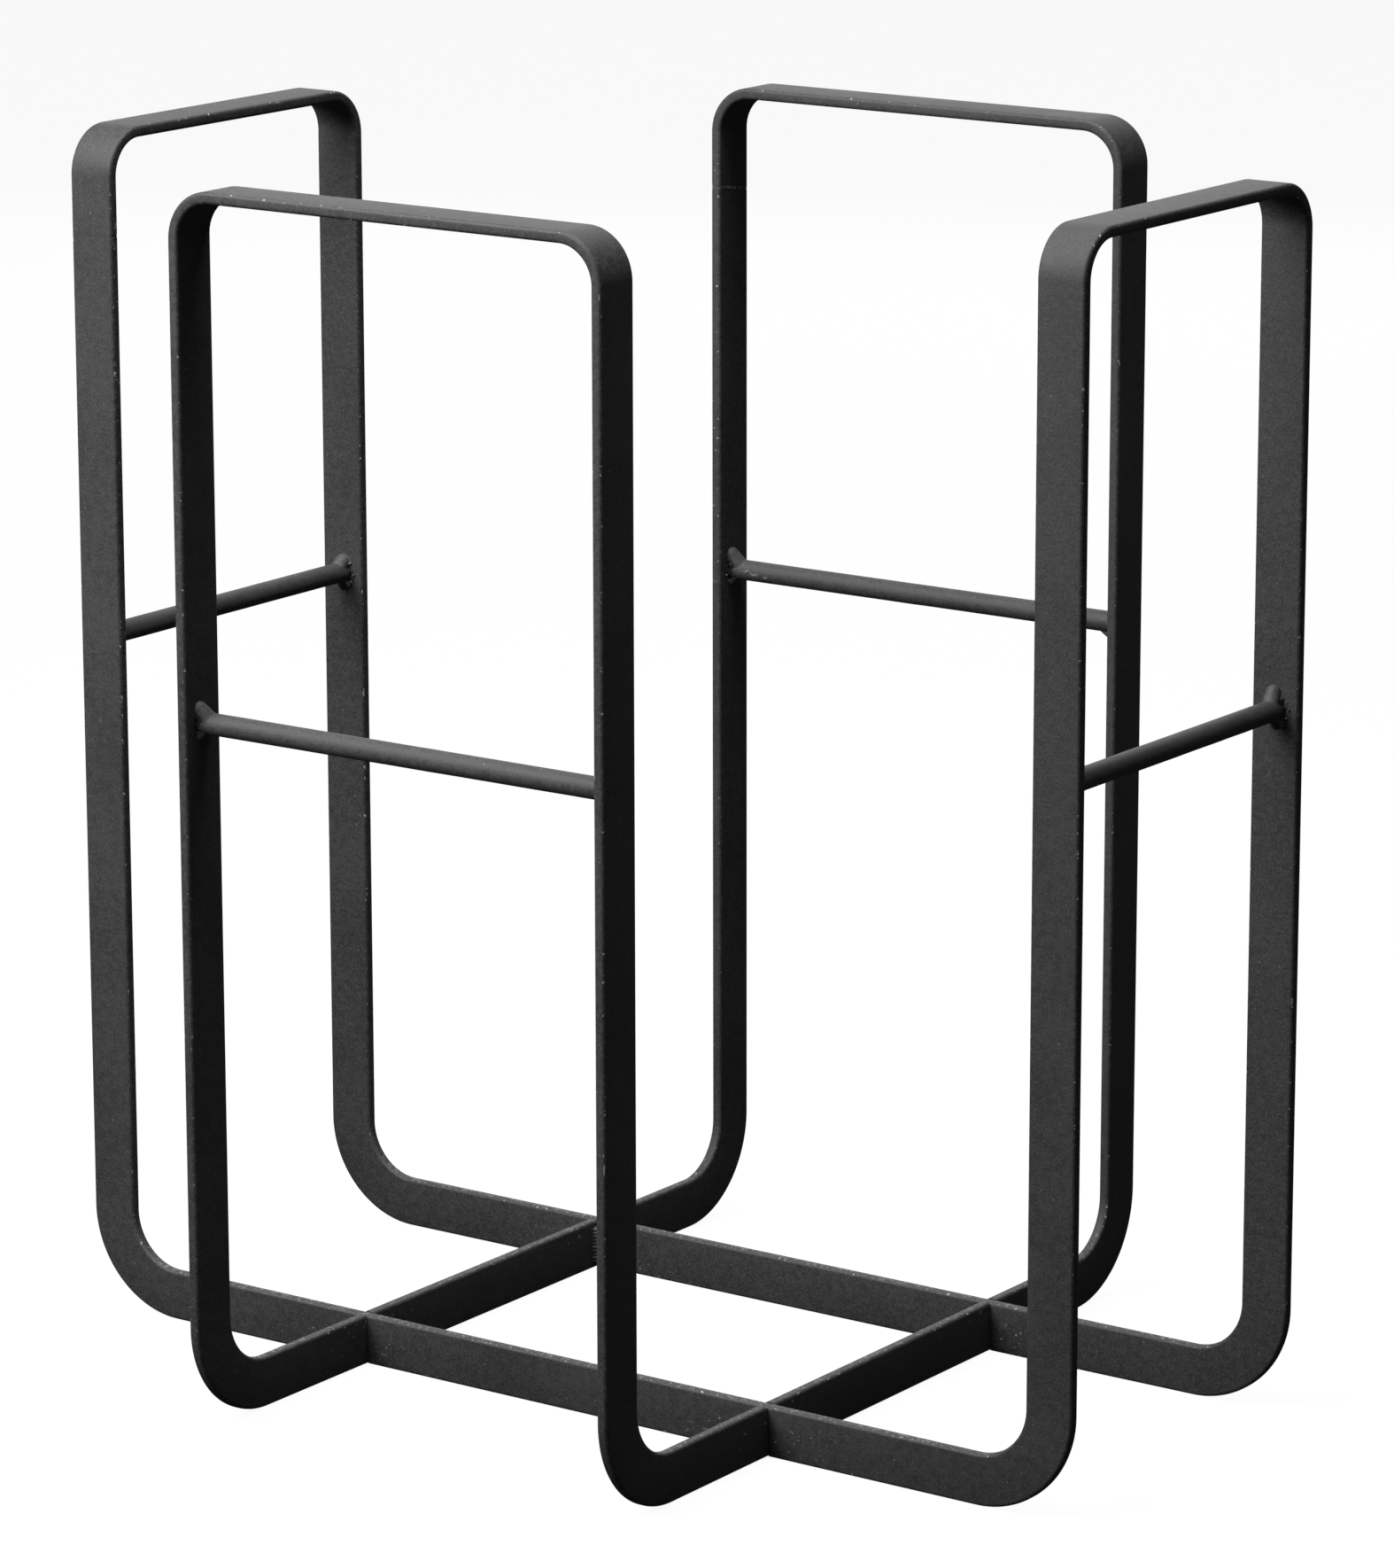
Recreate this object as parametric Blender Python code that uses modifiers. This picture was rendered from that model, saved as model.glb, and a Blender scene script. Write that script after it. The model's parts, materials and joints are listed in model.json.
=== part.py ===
"""Open magazine rack welded from flat bar and round rod.

Two closed bands of flat bar cross under the papers. Each band rises at both of its ends
into a tall loop, so four loops stand round a square bay. A rod braces each loop.
Metres, +Z up, origin on the floor under the middle of the rack.
-Y is the front, +X is the right.
"""

import math

import bmesh
import bpy
from mathutils import Matrix, Vector

# ---- driving dimensions (metres) ----
HEIGHT = 0.380
FRONT_BACK_SPAN = 0.290  # over the outer edges of the front and the back loop
LEFT_RIGHT_SPAN = 0.370  # over the outer edges of the left and the right loop
FRONT_LOOP_WIDTH = 0.156  # over the uprights of the front and the back loop
SIDE_LOOP_WIDTH = 0.126  # over the uprights of the left and the right loop

BAR_WIDTH = 0.016
BAR_THICKNESS = 0.0036
EDGE_RADIUS = 0.0011
TOP_BEND_RADIUS = 0.015  # outside, bent the easy way
FOOT_BEND_RADIUS = 0.033  # outside, bent on edge

ROD_DIAMETER = 0.0067
ROD_HEIGHT = 0.220

ROD_WELD_LEG = 0.0028
CROSSING_WELD_LEG = 0.0030
CROSSING_WELD_MARGIN = 0.0020  # left bare above and below the bead
WELD_TOE = 0.0005  # thickness of a fillet where it runs out
BUTT_WELD_WIDTH = 0.0010
BUTT_WELD_DROP = 0.034  # from the top of the rack down to the butt joint
BUTT_WELD_INSET = 0.0001  # dressed this far below the faces of the bar

FIT_GAP = 0.0003  # between pieces that touch

# ---- how finely round shapes are cut ----
EDGE_SEGMENTS = 2
TOP_BEND_SEGMENTS = 8
FOOT_BEND_SEGMENTS = 10
ROD_SEGMENTS = 20
WELD_SEGMENTS = 20
WELD_ARC_SEGMENTS = 4

# ---- sizes that follow from the ones above ----
ROD_RADIUS = ROD_DIAMETER / 2
CUTTER_OVERSHOOT = 0.002
QUARTER_TURN = math.radians(90)
TURN_TO_SIDE = Matrix.Rotation(QUARTER_TURN, 4, "Z")

X_AXIS = Vector((1, 0, 0))
Y_AXIS = Vector((0, 1, 0))
Z_AXIS = Vector((0, 0, 1))


def clear_scene():
    """Remove every object that the startup file brings."""
    for obj in list(bpy.data.objects):
        bpy.data.objects.remove(obj, do_unlink=True)


def new_collection(name, hidden=False):
    """A collection of the scene; a hidden one holds cutters."""
    collection = bpy.data.collections.new(name)
    collection.hide_render = hidden
    bpy.context.scene.collection.children.link(collection)
    return collection


def coated_steel(name, grey, roughness):
    """A finish of black powder coat over steel."""
    material = bpy.data.materials.new(name)
    material.use_nodes = True
    shader = material.node_tree.nodes["Principled BSDF"]
    shader.inputs["Base Color"].default_value = (grey, grey, grey * 1.04, 1.0)
    shader.inputs["Roughness"].default_value = roughness
    shader.inputs["Metallic"].default_value = 0.0
    return material


def mesh_from(bm, name):
    """Turn the working mesh into mesh data and free it."""
    mesh = bpy.data.meshes.new(name)
    bm.to_mesh(mesh)
    bm.free()
    return mesh


def add_object(name, data, collection, material):
    """Mesh or curve data as a named object in the collection."""
    obj = bpy.data.objects.new(name, data)
    if not data.materials:
        data.materials.append(material)
    collection.objects.link(obj)
    return obj


def face_along(obj, direction):
    """Turn an object that was made along Z to lie along the direction."""
    obj.rotation_mode = "QUATERNION"
    obj.rotation_quaternion = Z_AXIS.rotation_difference(direction)


def smooth_round_faces(mesh):
    """Shade round stretches smooth and keep true corners sharp."""
    mesh.shade_smooth()
    mesh.set_sharp_from_angle(angle=math.radians(50))


# ---- the two bands ----
def bar_section(bm, span):
    """Rounded outline of the flat bar where the loop's top bar crosses x = 0; its edges are returned."""
    plane = bmesh.ops.create_grid(bm, x_segments=1, y_segments=1, size=0.5)
    corners = plane["verts"]
    turn = Matrix.Rotation(QUARTER_TURN, 4, "Y")
    size = Matrix.Diagonal((1, BAR_WIDTH, BAR_THICKNESS, 1))
    place = Matrix.Translation((0, -span / 2 + BAR_WIDTH / 2, HEIGHT - BAR_THICKNESS / 2))
    bmesh.ops.transform(bm, matrix=place @ size @ turn, verts=corners)
    bmesh.ops.bevel(
        bm,
        geom=corners,
        offset=EDGE_RADIUS,
        offset_type="OFFSET",
        segments=EDGE_SEGMENTS,
        profile=0.5,
        affect="VERTICES",
    )
    bmesh.ops.delete(bm, geom=bm.faces[:], context="FACES_ONLY")
    return bm.edges[:]


def feed(bm, edges, length, direction):
    """Run the bar straight on from its end edges."""
    grown = bmesh.ops.extrude_edge_only(bm, edges=edges)["geom"]
    points = [item for item in grown if isinstance(item, bmesh.types.BMVert)]
    bmesh.ops.translate(bm, vec=direction * length, verts=points)
    return [item for item in grown if isinstance(item, bmesh.types.BMEdge)]


def bend(bm, edges, centre, axis, steps):
    """Bend the bar through a right angle from its end edges."""
    points = list({point for edge in edges for point in edge.verts})
    spun = bmesh.ops.spin(
        bm,
        geom=points + edges,
        cent=centre,
        axis=axis,
        angle=QUARTER_TURN,
        steps=steps,
        use_duplicate=False,
    )
    return [item for item in spun["geom_last"] if isinstance(item, bmesh.types.BMEdge)]


def quarter_band(name, span, loop_width):
    """A quarter of a band, from the middle of a loop's top bar to the middle of a bottom run."""
    bm = bmesh.new()
    end = bar_section(bm, span)
    end = feed(bm, end, loop_width / 2 - TOP_BEND_RADIUS, X_AXIS)
    top_centre = Vector((loop_width / 2 - TOP_BEND_RADIUS, 0, HEIGHT - TOP_BEND_RADIUS))
    end = bend(bm, end, top_centre, Y_AXIS, TOP_BEND_SEGMENTS)
    end = feed(bm, end, HEIGHT - TOP_BEND_RADIUS - FOOT_BEND_RADIUS, -Z_AXIS)
    foot_centre = Vector((0, -span / 2 + FOOT_BEND_RADIUS, FOOT_BEND_RADIUS))
    end = bend(bm, end, foot_centre, X_AXIS, FOOT_BEND_SEGMENTS)
    feed(bm, end, span / 2 - FOOT_BEND_RADIUS, Y_AXIS)
    bmesh.ops.recalc_face_normals(bm, faces=bm.faces[:])
    mesh = mesh_from(bm, name)
    smooth_round_faces(mesh)
    return mesh


def box_cutter(name, size, centre, collection):
    """A box that cuts a slot."""
    bm = bmesh.new()
    bmesh.ops.create_cube(bm, size=1.0, matrix=Matrix.Diagonal((*size, 1)))
    cutter = bpy.data.objects.new(name, mesh_from(bm, name))
    cutter.location = centre
    cutter.hide_render = True
    cutter.display_type = "WIRE"
    collection.objects.link(cutter)
    return cutter


def cut(obj, cutter):
    """Cut with a Boolean that stays on the object."""
    modifier = obj.modifiers.new(cutter.name, "BOOLEAN")
    modifier.operation = "DIFFERENCE"
    modifier.solver = "EXACT"
    modifier.object = cutter


def add_band(name, span, loop_width, turned, parts, material):
    """A closed band: the quarter mirrored both ways. A turned band runs from left to right."""
    mesh = quarter_band(name, span, loop_width)
    if turned:
        mesh.transform(TURN_TO_SIDE)
    obj = add_object(name, mesh, parts, material)
    mirror = obj.modifiers.new("both halves", "MIRROR")
    mirror.use_axis = (True, True, False)
    mirror.use_mirror_merge = True
    mirror.merge_threshold = 0.0001
    return obj


def lap_centres():
    """Where the bottom runs of the two bands cross, in plan."""
    x = FRONT_LOOP_WIDTH / 2 - BAR_THICKNESS / 2
    y = SIDE_LOOP_WIDTH / 2 - BAR_THICKNESS / 2
    return [(side_x * x, side_y * y) for side_x in (-1, 1) for side_y in (-1, 1)]


def cut_half_laps(lower_band, upper_band, cutters):
    """Slots half a bar deep: from above in the lower band, from below in the band laid over it."""
    slot = BAR_THICKNESS + 2 * FIT_GAP
    depth = BAR_WIDTH / 2 + FIT_GAP / 2 + CUTTER_OVERSHOOT
    middle = BAR_WIDTH / 2
    rise = depth / 2 - FIT_GAP / 2
    for index, (x, y) in enumerate(lap_centres(), start=1):
        over = (slot + 2 * CUTTER_OVERSHOOT, slot, depth)
        cut(lower_band, box_cutter(f"lap_above_{index}", over, (x, y, middle + rise), cutters))
        under = (slot, slot + 2 * CUTTER_OVERSHOOT, depth)
        cut(upper_band, box_cutter(f"lap_below_{index}", under, (x, y, middle - rise), cutters))


# ---- butt joints that close the bands ----
def butt_joint_centre(loop_width, span):
    """Middle of the joint on an unturned band: on the left upright of its back loop."""
    x = -(loop_width / 2 - BAR_THICKNESS / 2)
    y = span / 2 - BAR_WIDTH / 2
    return Vector((x, y, HEIGHT - BUTT_WELD_DROP))


def add_butt_weld(name, band, centre, turned, parts, cutters, material):
    """Open the band at its joint and fill the slot with weld metal, dressed to the bar's outline."""
    reach = (BAR_THICKNESS + 2 * CUTTER_OVERSHOOT, BAR_WIDTH + 2 * CUTTER_OVERSHOOT)
    size = (BAR_THICKNESS - 2 * BUTT_WELD_INSET, BAR_WIDTH - 2 * BUTT_WELD_INSET)
    if turned:
        reach = reach[::-1]
        size = size[::-1]
        centre = TURN_TO_SIDE @ centre
    slot = BUTT_WELD_WIDTH + 2 * FIT_GAP
    cut(band, box_cutter(f"{name}_slot", (*reach, slot), centre, cutters))
    bm = bmesh.new()
    bmesh.ops.create_cube(bm, size=1.0, matrix=Matrix.Diagonal((*size, BUTT_WELD_WIDTH, 1)))
    upright = [edge for edge in bm.edges if edge.verts[0].co.xy == edge.verts[1].co.xy]
    bmesh.ops.bevel(
        bm,
        geom=upright,
        offset=EDGE_RADIUS,
        offset_type="OFFSET",
        segments=EDGE_SEGMENTS,
        profile=0.5,
        affect="EDGES",
    )
    weld = add_object(name, mesh_from(bm, name), parts, material)
    weld.location = centre


# ---- rods and the fillet welds at their ends ----
def add_rod(name, length, centre, along, parts, material):
    """A round rod along X or Y."""
    bm = bmesh.new()
    bmesh.ops.create_cone(
        bm,
        cap_ends=True,
        segments=ROD_SEGMENTS,
        radius1=ROD_RADIUS,
        radius2=ROD_RADIUS,
        depth=length,
    )
    mesh = mesh_from(bm, name)
    smooth_round_faces(mesh)
    rod = add_object(name, mesh, parts, material)
    face_along(rod, along)
    rod.location = centre


def hollow_arc(leg):
    """Points of a fillet's hollow face, from one toe to the other, as distances from the two legs."""
    sweep = leg - WELD_TOE
    points = []
    for step in range(WELD_ARC_SEGMENTS + 1):
        angle = QUARTER_TURN * step / WELD_ARC_SEGMENTS
        points.append((leg - sweep * math.sin(angle), leg - sweep * math.cos(angle)))
    return points


def rod_weld_profile(name):
    """Closed outline of the bead beside the rod, in the XZ plane, with its flat side at z = 0.

    It runs down its outer side, so that the turned bead faces outwards.
    """
    bore = ROD_RADIUS + FIT_GAP
    outline = [(bore, 0), (bore, ROD_WELD_LEG)]
    outline += [(bore + out, up) for out, up in reversed(hollow_arc(ROD_WELD_LEG))]
    outline.append((bore + ROD_WELD_LEG, 0))
    bm = bmesh.new()
    points = [bm.verts.new((x, 0, z)) for x, z in outline]
    for start, stop in zip(points, points[1:] + points[:1]):
        bm.edges.new((start, stop))
    return mesh_from(bm, name)


def add_rod_weld(name, mesh, face_point, away, parts, material):
    """A fillet bead round the end of a rod: its flat side lies on the upright."""
    weld = add_object(name, mesh, parts, material)
    screw = weld.modifiers.new("turned", "SCREW")
    screw.axis = "Z"
    screw.steps = WELD_SEGMENTS
    screw.render_steps = WELD_SEGMENTS
    screw.use_merge_vertices = True
    screw.merge_threshold = 0.00001
    screw.use_smooth_shade = True
    face_along(weld, away)
    weld.location = face_point + away * FIT_GAP


def add_braced_loop(side, ends, centre, along, loop_width, weld_mesh, parts, coat, bead):
    """The rod of one loop with a bead at each end."""
    clear_width = loop_width - 2 * BAR_THICKNESS
    add_rod(f"{side}_rod", clear_width - 2 * FIT_GAP, centre, along, parts, coat)
    for end, direction in zip(ends, (-1, 1)):
        outward = along * direction
        face_point = centre + outward * clear_width / 2
        add_rod_weld(f"{side}_rod_weld_{end}", weld_mesh, face_point, -outward, parts, bead)


# ---- beads in the corners where the bottom runs cross ----
def crossing_bead(name):
    """A hollow-faced fillet that fills the corner at the origin and opens towards +X and +Y."""
    curve = bpy.data.curves.new(name, "CURVE")
    curve.dimensions = "2D"
    curve.fill_mode = "BOTH"
    curve.extrude = BAR_WIDTH / 2 - CROSSING_WELD_MARGIN
    outline = [(0, 0), (CROSSING_WELD_LEG, 0)]
    outline += hollow_arc(CROSSING_WELD_LEG)
    outline.append((0, CROSSING_WELD_LEG))
    spline = curve.splines.new("POLY")
    spline.points.add(len(outline) - 1)
    for point, (x, y) in zip(spline.points, outline):
        point.co = (x, y, 0, 1)
    spline.use_cyclic_u = True
    return curve


def add_crossing_weld(name, side_x, side_y, parts, material):
    """The bead in the corner of a crossing that looks to the middle of the rack."""
    weld = add_object(name, crossing_bead(name), parts, material)
    x = FRONT_LOOP_WIDTH / 2 - BAR_THICKNESS - FIT_GAP
    y = SIDE_LOOP_WIDTH / 2 - BAR_THICKNESS - FIT_GAP
    weld.location = (side_x * x, side_y * y, BAR_WIDTH / 2)
    weld.rotation_euler.z = math.atan2(-side_y, -side_x) - QUARTER_TURN / 2


def main():
    clear_scene()
    parts = new_collection("magazine_rack")
    cutters = new_collection("cutters", hidden=True)
    bar_coat = coated_steel("coat_on_flat_bar", 0.030, 0.55)
    rod_coat = coated_steel("coat_on_rod", 0.032, 0.52)
    bead_coat = coated_steel("coat_on_weld_bead", 0.026, 0.48)

    bands = {
        "front_back_band": (FRONT_BACK_SPAN, FRONT_LOOP_WIDTH, False),
        "left_right_band": (LEFT_RIGHT_SPAN, SIDE_LOOP_WIDTH, True),
    }
    made = {}
    for name, (span, loop_width, turned) in bands.items():
        made[name] = add_band(name, span, loop_width, turned, parts, bar_coat)
    cut_half_laps(made["front_back_band"], made["left_right_band"], cutters)
    for name, (span, loop_width, turned) in bands.items():
        joint = butt_joint_centre(loop_width, span)
        add_butt_weld(f"{name}_butt_weld", made[name], joint, turned, parts, cutters, bead_coat)

    weld_mesh = rod_weld_profile("rod_weld")
    front = FRONT_BACK_SPAN / 2 - BAR_WIDTH / 2
    side = LEFT_RIGHT_SPAN / 2 - BAR_WIDTH / 2
    loops = {
        "front": (("left", "right"), (0, -front), X_AXIS, FRONT_LOOP_WIDTH),
        "back": (("left", "right"), (0, front), X_AXIS, FRONT_LOOP_WIDTH),
        "left": (("front", "back"), (-side, 0), Y_AXIS, SIDE_LOOP_WIDTH),
        "right": (("front", "back"), (side, 0), Y_AXIS, SIDE_LOOP_WIDTH),
    }
    for name, (ends, plan, along, loop_width) in loops.items():
        centre = Vector((*plan, ROD_HEIGHT))
        add_braced_loop(name, ends, centre, along, loop_width, weld_mesh, parts, rod_coat, bead_coat)

    corners = {"front_left": (-1, -1), "front_right": (1, -1), "back_left": (-1, 1), "back_right": (1, 1)}
    for name, (side_x, side_y) in corners.items():
        add_crossing_weld(f"crossing_weld_{name}", side_x, side_y, parts, bead_coat)


main()
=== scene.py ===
# %% [markdown]
# # A welded magazine rack in black powder coat
# The rack is two closed bands of flat steel bar. One runs from front to back, the other from
# left to right, and they cross under the papers. Each band rises at both ends into a tall
# loop, so four loops hold the stack, and a round rod braces each loop. Everything is welded,
# then coated in one fine-grained black powder coat.
#
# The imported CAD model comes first. It fixes every size and place, and nothing in it is moved.

# %% Load the CAD frame
import json
import math
import random

import bmesh
import bpy
from mathutils import Matrix, Vector

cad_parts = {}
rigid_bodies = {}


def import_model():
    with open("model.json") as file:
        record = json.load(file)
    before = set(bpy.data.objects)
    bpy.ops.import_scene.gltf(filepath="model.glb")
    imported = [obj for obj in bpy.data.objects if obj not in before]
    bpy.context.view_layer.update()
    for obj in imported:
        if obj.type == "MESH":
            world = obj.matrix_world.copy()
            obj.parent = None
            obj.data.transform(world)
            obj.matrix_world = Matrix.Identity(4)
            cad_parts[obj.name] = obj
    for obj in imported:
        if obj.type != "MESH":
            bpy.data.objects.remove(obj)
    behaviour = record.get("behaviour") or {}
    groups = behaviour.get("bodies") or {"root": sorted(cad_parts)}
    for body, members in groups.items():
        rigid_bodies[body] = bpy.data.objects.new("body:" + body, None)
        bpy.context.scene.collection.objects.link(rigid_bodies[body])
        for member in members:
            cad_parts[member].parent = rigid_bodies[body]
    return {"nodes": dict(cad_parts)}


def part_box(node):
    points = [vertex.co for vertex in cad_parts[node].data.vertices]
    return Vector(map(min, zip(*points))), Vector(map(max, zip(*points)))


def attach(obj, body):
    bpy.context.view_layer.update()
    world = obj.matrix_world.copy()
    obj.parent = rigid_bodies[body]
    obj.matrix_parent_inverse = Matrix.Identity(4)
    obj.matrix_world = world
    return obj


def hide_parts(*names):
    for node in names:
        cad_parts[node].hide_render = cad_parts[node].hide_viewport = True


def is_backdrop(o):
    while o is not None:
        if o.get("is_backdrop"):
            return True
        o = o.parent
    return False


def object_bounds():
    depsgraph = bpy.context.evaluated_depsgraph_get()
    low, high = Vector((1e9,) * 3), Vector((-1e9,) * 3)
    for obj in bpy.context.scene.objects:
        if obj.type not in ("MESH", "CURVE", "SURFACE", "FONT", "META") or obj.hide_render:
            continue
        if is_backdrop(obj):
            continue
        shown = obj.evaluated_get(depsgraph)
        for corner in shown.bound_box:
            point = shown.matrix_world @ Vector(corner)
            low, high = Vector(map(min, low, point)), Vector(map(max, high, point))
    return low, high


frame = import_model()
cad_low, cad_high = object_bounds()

MM = 0.001
QUARTER_TURN = math.radians(90)
UP = Vector((0, 0, 1))
print("CAD nodes:", len(frame["nodes"]), "box in mm:", [round(v / MM, 1) for v in cad_high - cad_low])

# %% [markdown]
# ## Read the sizes off the CAD
# A maker measures before cutting. The boxes of the CAD nodes give all the sizes needed here:
# the rod ends stop one fitting gap short of the uprights, which gives the bar's thickness, and
# the rod sits in the middle of the bar's width, which gives the width.

# %% Measure the bands and rods
FITTING_GAP = 0.3 * MM

front_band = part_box("front_back_band")
side_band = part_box("left_right_band")
front_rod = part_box("front_rod")
rod_radius = (front_rod[1].z - front_rod[0].z) / 2
bar_thickness = front_band[1].x - front_rod[1].x - FITTING_GAP
bar_width = 2 * ((front_rod[0].y + front_rod[1].y) / 2 - front_band[0].y)
rack_height = cad_high.z
print(f"bar {bar_width / MM:.1f} x {bar_thickness / MM:.1f} mm, rod {2 * rod_radius / MM:.1f} mm")

# %% [markdown]
# ## Small helpers for working by hand
# A mesh operator acts on whatever is selected, and loading the frame leaves its nodes selected.
# So each piece starts with nothing selected. Inside edit mode, points are picked by their place,
# just as a click or a box select would pick them.

# %% Select, edit, apply
def select_nothing():
    """Deselect all objects."""
    for obj in bpy.context.selected_objects:
        obj.select_set(False)


def take(obj):
    """Make this object the only selected and the active one."""
    select_nothing()
    obj.select_set(True)
    bpy.context.view_layer.objects.active = obj


def start_piece(name, add_primitive, **settings):
    """Add a primitive with nothing else selected, and name it."""
    select_nothing()
    add_primitive(**settings)
    piece = bpy.context.object
    piece.name = name
    piece.data.name = name
    return piece


def set_in_place(piece):
    """Put the object's place, turn and scale into its mesh."""
    take(piece)
    bpy.ops.object.transform_apply(location=True, rotation=True, scale=True)


def edit(piece, kind="VERT"):
    """Enter edit mode with everything selected."""
    take(piece)
    bpy.ops.object.mode_set(mode="EDIT")
    bpy.ops.mesh.select_mode(type=kind)
    bpy.ops.mesh.select_all(action="SELECT")


def leave_edit():
    """Back to object mode."""
    bpy.ops.object.mode_set(mode="OBJECT")


def pick(test, kind="verts"):
    """In edit mode, select only the points, edges or faces that pass the test."""
    bpy.ops.mesh.select_all(action="DESELECT")
    work = bmesh.from_edit_mesh(bpy.context.object.data)
    for item in getattr(work, kind):
        if test(item):
            item.select_set(True)
    work.select_flush_mode()
    bmesh.update_edit_mesh(bpy.context.object.data)


def apply_modifier(piece, kind, **settings):
    """Add a modifier, set it and apply it."""
    take(piece)
    modifier = piece.modifiers.new(kind, kind)
    for key, value in settings.items():
        setattr(modifier, key, value)
    bpy.ops.object.modifier_apply(modifier=modifier.name)


def face_outwards(piece):
    """Merge doubled points, then turn every face outwards."""
    edit(piece)
    bpy.ops.mesh.remove_doubles(threshold=0.002 * MM)
    bpy.ops.mesh.normals_make_consistent(inside=False)
    leave_edit()


def smooth_shading(piece, corner=50):
    """Shade round stretches smooth and keep corners sharper than this many degrees."""
    take(piece)
    bpy.ops.object.shade_smooth_by_angle(angle=math.radians(corner))


pieces_made = []


def hand_in(piece, finish, slot, *nodes):
    """Give the piece its finish and let it stand for its CAD nodes on the rack's one body."""
    piece.data.materials.clear()
    piece.data.materials.append(finish)
    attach(piece, "root")
    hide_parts(*nodes)
    pieces_made.append(piece)
    print(f"{piece.name}: {len(piece.data.polygons)} faces, for {', '.join(nodes)}")


# %% [markdown]
# ## The powder coat
# Powder coat is sprayed on dry and melted in an oven. It flows into a matt black skin with a
# fine grain and a faint orange peel, and its gloss drifts a little from place to place. In use
# it gathers pale dust, and tiny chips open along the edges, where the skin is thinnest. The
# upper sides of the bottom runs get paler grey marks.
#
# All of that is drawn with noise in the object's own coordinates, so that it stays put on the
# metal. Three attributes, painted on the meshes further down, say where the coat is rubbed,
# where it gets pale marks and painted highlights, and where painted shade darkens a weld crater.

# %% Build the coat
class Wiring:
    """Short names for adding and joining the nodes of one material."""

    def __init__(self, name):
        self.material = bpy.data.materials.new(name)
        self.material.use_nodes = True
        self.tree = self.material.node_tree
        self.shader = self.tree.nodes["Principled BSDF"]

    def add(self, kind, **settings):
        node = self.tree.nodes.new(kind)
        for key, value in settings.items():
            setattr(node, key, value)
        return node

    def join(self, output, target):
        self.tree.links.new(output, target)

    def noise(self, place, size, detail=2.0, roughness=0.5):
        """Noise whose lumps are about this many metres across."""
        node = self.add("ShaderNodeTexNoise")
        node.inputs["Scale"].default_value = 1 / size
        node.inputs["Detail"].default_value = detail
        node.inputs["Roughness"].default_value = roughness
        self.join(place, node.inputs["Vector"])
        return node.outputs["Fac"]

    def ramp(self, value, low, high, to_low=0.0, to_high=1.0):
        """Stretch a value between low and high to the range wanted, held at the ends."""
        node = self.add("ShaderNodeMapRange", interpolation_type="SMOOTHSTEP")
        ends = {"From Min": low, "From Max": high, "To Min": to_low, "To Max": to_high}
        for key, number in ends.items():
            node.inputs[key].default_value = number
        self.join(value, node.inputs["Value"])
        return node.outputs["Result"]

    def combine(self, how, first, second):
        """Two values into one, by a math step."""
        node = self.add("ShaderNodeMath", operation=how)
        for socket, value in zip(node.inputs, (first, second)):
            if isinstance(value, (int, float)):
                socket.default_value = value
            else:
                self.join(value, socket)
        return node.outputs["Value"]

    def blend(self, mask, first, second):
        """From the first colour to the second where the mask is 1."""
        node = self.add("ShaderNodeMix", data_type="RGBA")
        self.join(mask, node.inputs["Factor"])
        for socket, value in ((node.inputs["A"], first), (node.inputs["B"], second)):
            if isinstance(value, tuple):
                socket.default_value = (*value, 1.0)
            else:
                self.join(value, socket)
        return node.outputs["Result"]

    def emboss(self, height, depth, strength, under=None):
        """Raise the surface by a height map of this depth in metres."""
        node = self.add("ShaderNodeBump")
        node.inputs["Distance"].default_value = depth
        node.inputs["Strength"].default_value = strength
        self.join(height, node.inputs["Height"])
        if under is not None:
            self.join(under, node.inputs["Normal"])
        return node.outputs["Normal"]


BLACK = 0.030  # how much light the coat gives back
DARK_PATCH = (0.80, 0.80, 0.82)  # shares of the coat's tone
LIGHT_PATCH = (1.20, 1.20, 1.23)
GRAIN_PIT = (0.3, 0.3, 0.3)
GRAIN_GREY = (0.075, 0.075, 0.077)
DUST_GREY = (0.17, 0.17, 0.165)
PALE_MARK_AND_HIGHLIGHT_GREY = (0.13, 0.13, 0.127)
CRATER_SHADE_COLOUR = (0.004, 0.004, 0.004)
CHIP_GREY = (0.32, 0.32, 0.31)

PEEL_SIZE = 2.6 * MM
DRIFT_SIZE = 34 * MM
PEEL_SHARE = 0.55
PATCHES = (0.36, 0.64)  # where the mottle turns from dark to light
PALE_MARK_NOISE_SIZE = 1.3 * MM
PALE_MARK_THRESHOLDS = (0.62, 0.72)
DUST_SPACING = 6 * MM
DUST_CORE = 0.025  # shares of the spacing
DUST_RIM = 0.060
DUST_COVER = 0.75
NICK_SIZE = 1.7 * MM
NICKS = (0.655, 0.69)
CHIP_DEPTH = 0.06 * MM
GLOSS_DRIFT = 0.05
CRATER_SHADE_MATT = 0.3
SHINE = 0.45


def shade(tone, shares):
    """A colour as shares of the coat's tone."""
    return tuple(tone * share for share in shares)


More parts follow.
